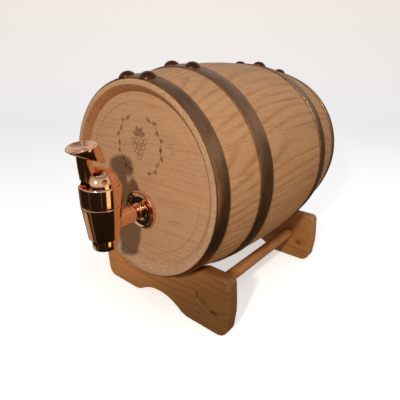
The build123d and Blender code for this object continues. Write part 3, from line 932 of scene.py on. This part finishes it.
# ---------------------------------------------------------------- tap
def plating(sizes):
    """Mirror plating with faint wiping marks and slow waves."""
    f = Finish("rose_gold", sizes.metal, sizes.polish, 1.0)
    wipe = f.noise(f.point(), scale=330.0, detail=4.0, rough=0.6)
    f.roughness(f.fade(wipe, 0.45, 0.80, sizes.polish, sizes.polish + 0.09))
    f.colour(f.blend(f.fade(wipe, 0.50, 0.85, 0.0, 0.35), sizes.metal, (0.70, 0.36, 0.22)))
    wave = f.noise(f.point(), scale=90.0, detail=1.0)
    f.bump(wave, 0.10, 0.0004)
    return f.material


def build_tap_body(sizes, gold):
    """Tapered body with the arm and the threaded shank."""
    steps = sizes.round_steps
    cone = turned_upright("tap_cone", [
            (0, -30.5), (10.1, -30.5), (10.5, -30.2), (10.7, -29.6), (13.25, -9.4), (13.5, -8.0),
            (13.5, -7.6), (13.3, -7.3), (11.4, -7.3), (11.4, 2.2), (8.6, 2.2), (8.6, -28.6), (0, -28.6)],
        steps)
    arm = turned_along("tap_arm", [
            (0, -20.0), (7.0, -20.0), (6.62, -6.0), (6.45, -4.4), (6.0, -3.6), (5.4, -3.25), (5.3, -3.0),
            (5.3, -1.5), (5.55, -1.2), (6.05, -1.05), (6.2, -0.8), (6.2, 0.2), (6.05, 0.45), (5.5, 0.6),
            (5.35, 1.0), (5.35, 27.0), (3.25, 27.0), (3.25, -12.0), (0, -12.0)],
        steps)
    body = join(cone, [arm])
    body.name = "tap_housing"
    finish(body, "barrel", (gold,), ("tap_body",), 28.0)


def build_tap_cap(sizes, gold):
    """Polished cap: a band with a rolled rim, and two round-topped ears for the lever."""
    steps = sizes.round_steps
    band = turned_upright("cap_band", [
            (2.4, 2.6), (11.5, 2.6), (11.5, -6.9), (13.45, -6.9), (13.62, -6.6), (13.68, -6.0),
            (13.85, 4.9), (13.78, 5.6), (13.5, 6.15), (13.1, 6.4), (12.75, 6.35), (12.45, 6.0),
            (12.35, 5.65), (2.4, 5.6), (2.4, 2.6)], steps)
    side = [(-EAR_HALF, 3.2), (EAR_HALF, 3.2)]
    for way, start in ((1, 0), (-1, 90)):
        side += [(way * (EAR_HALF - EAR_CORNER) + py, EAR_TOP - EAR_CORNER + pz)
            for py, pz in arc_points(0, 0, EAR_CORNER, start, start + 90, 12)]
    ears = []
    for x in (-13.6, 4.0):
        face = [place(x, TAP_Y + y, z) for y, z in side]
        ear = slab("ear", face, Vector((9.6 * MM, 0, 0)))
        post = turned_upright("post", [(0, 0)] + EAR_DOME + [(0, EAR_TOP)], steps)
        cut(ear, post, "INTERSECT")
        pin = slab("pin", [place(x - 1, PIVOT_Y + 1.6 * cos(a), PIVOT_Z + 1.6 * sin(a))
                for a in turns(24)], Vector((12 * MM, 0, 0)))
        cut(ear, pin)
        ease_edges(ear, 0.42 * MM, 3, 38)
        ears.append(ear)
    cap = join(band, ears)
    cap.name = "tap_cap_and_ears"
    finish(cap, "barrel", (gold,), ("tap_cap",), 28.0)


def build_tap_nozzle(sizes, gold):
    """Short spout screwed into the foot of the tap."""
    nozzle = turned_upright("tap_spout", [
            (5.2, -38.4), (7.4, -38.4), (7.95, -38.25), (8.3, -37.8), (8.4, -37.2), (8.68, -31.4),
            (8.55, -31.0), (8.2, -30.8), (8.1, -30.5), (7.1, -30.5), (7.1, -28.2), (5.2, -28.2),
            (5.2, -38.4)], sizes.round_steps)
    finish(nozzle, "barrel", (gold,), ("tap_nozzle",), 28.0)


def build_tap_flange(sizes, gold):
    """Dished flange that lies against the head."""
    flange = turned_along("tap_rose", [
            (5.6, 4.1), (14.6, 4.1), (14.7, 3.9), (14.7, 2.7), (14.55, 2.2), (14.2, 1.85), (13.7, 1.7),
            (13.2, 1.75), (12.7, 2.0), (12.0, 2.55), (11.2, 2.9), (10.2, 3.05), (7.4, 3.1), (6.6, 2.95),
            (6.0, 2.7), (5.6, 2.7), (5.6, 4.1)], sizes.round_steps)
    finish(flange, "barrel", (gold,), ("tap_flange",), 28.0)


def oval(half_x, half_y, y, z, tilt, count=44):
    """An oval of points round (y, z), tipped up at the front by tilt degrees."""
    lean = radians(tilt)
    return [place(half_x * cos(a), y + half_y * sin(a) * cos(lean), z - half_y * sin(a) * sin(lean))
        for a in turns(count)]


def build_lever(gold):
    """Thumb lever: a forked blade on the pivot and a dished oval paddle."""
    rings = [
        oval(8.2, 9.9, -37.1, 24.3, 22),
        oval(9.3, 11.1, -37.15, 24.4, 22),
        oval(10.1, 11.9, -37.25, 25.0, 21.5),
        oval(10.6, 12.0, -37.6, 26.2, 18),
        oval(10.9, 11.3, -38.6, 29.2, 8),
        oval(11.2, 9.7, -39.4, 31.8, -5),
        oval(11.25, 8.8, -39.7, 33.0, -10),
        oval(10.9, 8.2, -39.8, 33.3, -11),
        oval(10.2, 7.5, -39.8, 33.2, -11),
        oval(9.4, 6.8, -39.8, 32.7, -11),
        oval(7.8, 5.6, -39.6, 31.7, -9),
        oval(5.6, 4.0, -39.4, 31.1, -7),
        oval(2.6, 1.9, -39.3, 30.9, -7),
    ]
    paddle = loft("paddle", rings)
    smooth(paddle, 2)
    hub = [(PIVOT_Y + 4.8 * cos(radians(a)), PIVOT_Z + 4.8 * sin(radians(a)))
        for a in (215, 230, 245, 260, 275)]
    blade_side = [(-42.1, 18.0), (-41.5, 11.2)] + hub
    blade_side += [(TAP_Y + 2.2, 7.6), (TAP_Y + 3.3, 8.9), (TAP_Y + 3.6, 11.0), (TAP_Y + 3.2, 12.9),
        (TAP_Y + 2.2, 14.2), (PIVOT_Y + 1.0, 15.6), (-34.7, 16.3), (-35.3, 17.2),
        (-35.8, 19.0), (-36.0, 20.5), (-35.7, 22.5), (-35.0, 26.5), (-42.6, 29.0)]
    blade = slab("blade", [place(-3.65, y, z) for y, z in blade_side], Vector((7.3 * MM, 0, 0)))
    slot = slab("slot", [place(-1.9, PIVOT_Y + y, PIVOT_Z + z) for y, z in
            ((1.95, 7.0), (1.95, -0.6), (-0.9, -6.0), (9.6, -6.0), (9.6, 7.0))],
        Vector((3.8 * MM, 0, 0)))
    cut(blade, slot)
    link = slab("link", [place(-5, TAP_Y + y, PIVOT_Z + z) for y, z in
            arc_points(0.6, 0, 1.55, -90, 90, 10) + arc_points(-0.6, 0, 1.55, 90, 270, 10)],
        Vector((10 * MM, 0, 0)))
    cut(blade, link)
    bore = slab("bore", [place(-5, PIVOT_Y + 1.66 * cos(a), PIVOT_Z + 1.66 * sin(a))
            for a in turns(24)], Vector((10 * MM, 0, 0)))
    cut(blade, bore)
    ease_edges(blade, 0.5 * MM, 3, 38)
    lever = join(blade, [paddle])
    lever.name = "thumb_lever"
    finish(lever, "lever", (gold,), ("tap_lever",), 30.0)


def build_pins(steel):
    """Polished ends of the pivot pin."""
    half = PIVOT_PIN_HALF
    pin = turned("pivot_pin_polished", [place(x, PIVOT_Y, PIVOT_Z + r) for r, x in (
            (0, -half), (1.25, -half), (1.58, -half + 0.35), (1.58, half - 0.35), (1.25, half), (0, half))],
        place(0, PIVOT_Y, PIVOT_Z), (1, 0, 0), 32)
    finish(pin, "barrel", (steel,), ("lever_pivot_pin",))


def build_spring(steel):
    """The return spring, a coil under the cap that closes up as the stem lifts; here it is built at rest
    and does not move.
    """
    low, high, coils, steps = -7.65, 1.95, 3.5, 22
    rings = []
    for i in range(int(coils * steps) + 1):
        angle = tau * i / steps
        rise = low + (high - low) * i / (coils * steps)
        ring = []
        for a in turns(8):
            reach = 5.4 + 0.6 * cos(a)
            ring.append(place(reach * cos(angle), TAP_Y + reach * sin(angle), rise + 0.6 * sin(a)))
        rings.append(ring)
    coil = loft("return_spring_coil", rings)
    finish(coil, "barrel", (steel,), ("return_spring",), 60.0)
    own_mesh(coil)


def finish_inner_parts(steel):
    """Gives the small working parts that keep their CAD shape their own finishes."""
    brass = metal("brass", (0.62, 0.40, 0.16), 0.24, (0.36, 0.20, 0.08), 0.6, 500.0, bump=0.1)
    acetal = moulded("white_plastic", (0.78, 0.77, 0.73), 0.38)
    silicone = moulded("silicone", (0.62, 0.58, 0.54), 0.42, clear=0.15)
    rubber = moulded("black_rubber", (0.025, 0.024, 0.023), 0.6)
    finishes = {
        "back_nut": brass, "link_pin": steel, "valve_stem": acetal, "valve_seal": silicone,
        "stem_o_ring": rubber, "flange_gasket": silicone, "shank_gasket": silicone,
    }
    for node, material in finishes.items():
        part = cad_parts[node]
        if not part.material_slots:
            part.data.materials.append(material)
        for slot in part.material_slots:
            slot.material = material


# ---------------------------------------------------------------- stage
def build_floor(sizes):
    """A floor that sweeps up into a backdrop behind the barrel."""
    side = [(-2.2, 0.0), (0.9, 0.0)]
    side += [(0.9 + py, 0.5 + pz) for py, pz in arc_points(0, 0, 0.5, -90, 0, 14)[1:]]
    side += [(1.4, 2.4)]
    floor = outline("floor", [Vector((-3.0, y, z)) for y, z in side], Vector((0, 0, 0)))
    bpy.ops.mesh.select_all(action="SELECT")
    bpy.ops.mesh.extrude_region_move(TRANSFORM_OT_translate={"value": (6.0, 0, 0)})
    bpy.ops.mesh.select_all(action="SELECT")
    bpy.ops.transform.rotate(value=radians(-40.0), orient_axis="Z", center_override=(0, 0, 0))
    bpy.ops.object.mode_set(mode="OBJECT")
    settle(floor)
    bpy.ops.object.shade_smooth_by_angle(angle=radians(40))
    paper = Finish("backdrop_paper", sizes.floor, 0.9)
    grain = paper.noise(paper.point(), scale=160.0, detail=3.0)
    paper.colour(paper.blend(paper.fade(grain, 0.3, 0.7, 0.0, 0.05), sizes.floor, (0.7, 0.69, 0.68)))
    paper.shader.inputs["Emission Color"].default_value = (1, 1, 1, 1)
    paper.shader.inputs["Emission Strength"].default_value = 0.50
    floor.data.materials.append(paper.material)
    floor.visible_glossy = False
    floor.visible_diffuse = False
    put_down()


def light_room(sizes):
    """A room that is pale to look at, with darker walls and bright strips to mirror."""
    world = bpy.data.worlds.new("room")
    bpy.context.scene.world = world
    world.use_nodes = True
    tree = world.node_tree
    tree.nodes.clear()
    room = Nodes(tree)
    x, y, z = room.split(room.node("ShaderNodeTexCoord"))
    heading = room.node("ShaderNodeMath", {0: x, 1: y}, operation="ARCTAN2")
    heading = room.node("ShaderNodeMapRange", {0: heading, 1: -pi, 2: pi, 3: 0.0, 4: 1.0})
    height = room.node("ShaderNodeMapRange", {0: z, 1: -1.0, 2: 1.0, 3: 0.0, 4: 1.0})
    black, white = (0.0, 0.0, 0.0), (1.0, 1.0, 1.0)
    dark = (0.022, 0.015, 0.010)
    dim = (0.10, 0.08, 0.06)
    brown = (0.13, 0.10, 0.08)
    tan = (0.16, 0.13, 0.10)
    sand = (0.20, 0.14, 0.09)
    cream = (0.55, 0.45, 0.33)
    gold = (1.6, 1.2, 0.7)
    strip = (2.2, 2.1, 2.0)
    walls = room.ramp(heading, [
            (0.0, dark), (0.02, dark), (0.028, (0.14, 0.11, 0.08)), (0.037, dark), (0.20, dark),
            (0.215, tan), (0.25, tan), (0.268, (0.06, 0.045, 0.03)), (0.308, dim), (0.316, strip),
            (0.33, strip), (0.338, dim), (0.50, brown), (0.635, (0.15, 0.12, 0.10)), (0.65, dark),
            (0.708, dark), (0.724, gold), (0.764, gold), (0.782, dark), (0.84, dark),
            (0.848, (0.18, 0.13, 0.09)), (0.857, dark), (1.0, dark)])
    low_walls = room.ramp(heading, [
            (0.0, dark), (0.05, dark), (0.06, sand), (0.085, sand), (0.095, dark), (0.125, dark),
            (0.138, cream), (0.25, cream), (0.27, (0.05, 0.035, 0.025)), (0.50, brown), (0.65, dark),
            (1.0, dark)])
    under = room.ramp(height, [(0.0, white), (0.24, white), (0.29, black)])
    level = room.ramp(height, [
            (0.0, (0.5, 0.46, 0.42)), (0.28, (0.9, 0.86, 0.8)), (0.50, (0.9, 0.88, 0.85)),
            (0.58, white), (0.68, white), (0.76, (0.7, 0.8, 0.95))])
    ceiling = room.ramp(height, [(0.0, black), (0.56, black), (0.64, white)])
    above = room.ramp(height, [
            (0.6, (0.70, 0.64, 0.55)), (0.80, (0.62, 0.57, 0.55)), (0.91, (0.24, 0.22, 0.22)),
            (0.94, (0.60, 0.50, 0.53)), (0.97, (0.22, 0.21, 0.21))])
    soft = room.ramp(height, [
            (0.0, (0.42, 0.27, 0.17)), (0.45, (0.34, 0.25, 0.18)), (0.60, (0.26, 0.24, 0.23)),
            (1.0, (0.34, 0.36, 0.40))])
    sides = room.blend(1.0, room.blend(under, walls, low_walls), level, "MULTIPLY")
    seen = room.blend(ceiling, sides, above)
    mirrored = room.node("ShaderNodeBackground", {0: seen, 1: sizes.room})
    even = room.node("ShaderNodeBackground", {0: soft, 1: sizes.room})
    pale = room.node("ShaderNodeBackground", {0: (1, 1, 1, 1), 1: 1.0})
    path = tree.nodes.new("ShaderNodeLightPath").outputs
    lit = room.node("ShaderNodeMixShader", {0: path["Is Diffuse Ray"], 1: mirrored, 2: even})
    both = room.node("ShaderNodeMixShader", {0: path["Is Camera Ray"], 1: lit, 2: pale})
    tree.links.new(both, tree.nodes.new("ShaderNodeOutputWorld").inputs[0])


def add_light(name, where, target, size, power, shade, mirrored=False):
    """A round lamp aimed at a target; only a mirrored one shows in polished metal."""
    put_down()
    bpy.ops.object.light_add(type="AREA", location=where)
    lamp = bpy.context.object
    lamp.name = name
    lamp.data.shape = "DISK"
    lamp.data.size = size
    lamp.data.energy = power
    lamp.data.color = shade
    lamp.visible_glossy = mirrored
    lamp.rotation_euler = (Vector(target) - Vector(where)).to_track_quat("-Z", "Y").to_euler()


def add_camera():
    put_down()
    bpy.ops.object.camera_add(location=(0.18027, -0.22229, 0.18888),
        rotation=(radians(90 - 19.44), 0.0, radians(40.98)))
    camera = bpy.context.object
    camera.name = "camera"
    camera.data.sensor_width = 36.0
    camera.data.lens = 31.415
    camera.data.shift_x = 0.0331
    camera.data.shift_y = -0.0261
    camera.data.clip_start = 0.01
    camera.data.dof.use_dof = False
    bpy.context.scene.camera = camera


# ---------------------------------------------------------------- operators
class MakeBarrel(bpy.types.Operator):
    """Builds the staves and the bung"""
    bl_idname = "barrel.staves"
    bl_label = "Staves and bung"

    def execute(self, context):
        build_staves(context.scene.barrel_sizes)
        build_bung(context.scene.barrel_sizes)
        return {"FINISHED"}


class MakeHeads(bpy.types.Operator):
    """Builds both heads and the burned mark on the front one"""
    bl_idname = "barrel.heads"
    bl_label = "Heads"

    def execute(self, context):
        build_heads(context.scene.barrel_sizes)
        build_mark(context.scene.barrel_sizes)
        return {"FINISHED"}


class MakeHoops(bpy.types.Operator):
    """Builds the four hoops and their rivets"""
    bl_idname = "barrel.hoops"
    bl_label = "Hoops and rivets"

    def execute(self, context):
        build_hoops(context.scene.barrel_sizes)
        build_rivets(context.scene.barrel_sizes)
        return {"FINISHED"}


class MakeStand(bpy.types.Operator):
    """Builds the cradle boards and their dowels"""
    bl_idname = "barrel.stand"
    bl_label = "Stand"

    def execute(self, context):
        build_boards(context.scene.stand_sizes)
        return {"FINISHED"}


class MakeTap(bpy.types.Operator):
    """Builds the tap with its lever, and finishes its working parts"""
    bl_idname = "barrel.tap"
    bl_label = "Tap"

    def execute(self, context):
        sizes = context.scene.tap_sizes
        gold = plating(sizes)
        steel = metal("steel", (0.62, 0.60, 0.58), 0.2, (0.42, 0.40, 0.38), 0.5, 600.0)
        build_tap_body(sizes, gold)
        build_tap_cap(sizes, gold)
        build_tap_nozzle(sizes, gold)
        build_tap_flange(sizes, gold)
        build_lever(gold)
        build_pins(gold)
        build_spring(steel)
        finish_inner_parts(steel)
        return {"FINISHED"}


class MakeStage(bpy.types.Operator):
    """Builds the floor, the lights and the camera"""
    bl_idname = "barrel.stage"
    bl_label = "Stage"

    def execute(self, context):
        sizes = context.scene.stage_sizes
        build_floor(sizes)
        light_room(sizes)
        middle = (0, -0.02, 0.10)
        power = sizes.key_power
        add_light("key", (0.21, -0.54, 0.37), middle, 0.045, power * 0.84, (1.0, 0.90, 0.77), True)
        add_light("overhead", (0.25, 0.15, 0.80), middle, 0.60, power * 0.53, (0.90, 0.95, 1.0))
        add_light("warm_side", (0.68, 0.0, 0.20), middle, 0.36, power * 0.42, (1.0, 0.86, 0.70))
        add_camera()
        context.scene.view_settings.view_transform = "Standard"
        return {"FINISHED"}


class BarrelPanel(bpy.types.Panel):
    """Lists the pieces of the barrel"""
    bl_label = "Wine barrel"
    bl_idname = "VIEW3D_PT_wine_barrel"
    bl_space_type = "VIEW_3D"
    bl_region_type = "UI"
    bl_category = "Barrel"

    def draw(self, context):
        layout = self.layout
        for settings, maker in PANEL_ROWS:
            box = layout.box()
            box.operator(maker)
            group = getattr(context.scene, settings)
            for name in group.__annotations__:
                box.prop(group, name)


PANEL_ROWS = (
    ("barrel_sizes", "barrel.staves"),
    ("barrel_sizes", "barrel.heads"),
    ("barrel_sizes", "barrel.hoops"),
    ("stand_sizes", "barrel.stand"),
    ("tap_sizes", "barrel.tap"),
    ("stage_sizes", "barrel.stage"),
)
GROUPS = (
    ("barrel_sizes", BarrelSettings),
    ("stand_sizes", StandSettings),
    ("tap_sizes", TapSettings),
    ("stage_sizes", StageSettings),
)
MAKERS = (MakeBarrel, MakeHeads, MakeHoops, MakeStand, MakeTap, MakeStage)


def register():
    for name, group in GROUPS:
        bpy.utils.register_class(group)
        setattr(bpy.types.Scene, name, PointerProperty(type=group))
    for maker in MAKERS:
        bpy.utils.register_class(maker)
    bpy.utils.register_class(BarrelPanel)


def unregister():
    bpy.utils.unregister_class(BarrelPanel)
    for maker in reversed(MAKERS):
        bpy.utils.unregister_class(maker)
    for name, group in reversed(GROUPS):
        delattr(bpy.types.Scene, name)
        bpy.utils.unregister_class(group)


def main():
    register()
    for maker in MAKERS:
        family, action = maker.bl_idname.split(".")
        getattr(getattr(bpy.ops, family), action)()


if __name__ == "__main__":
    main()
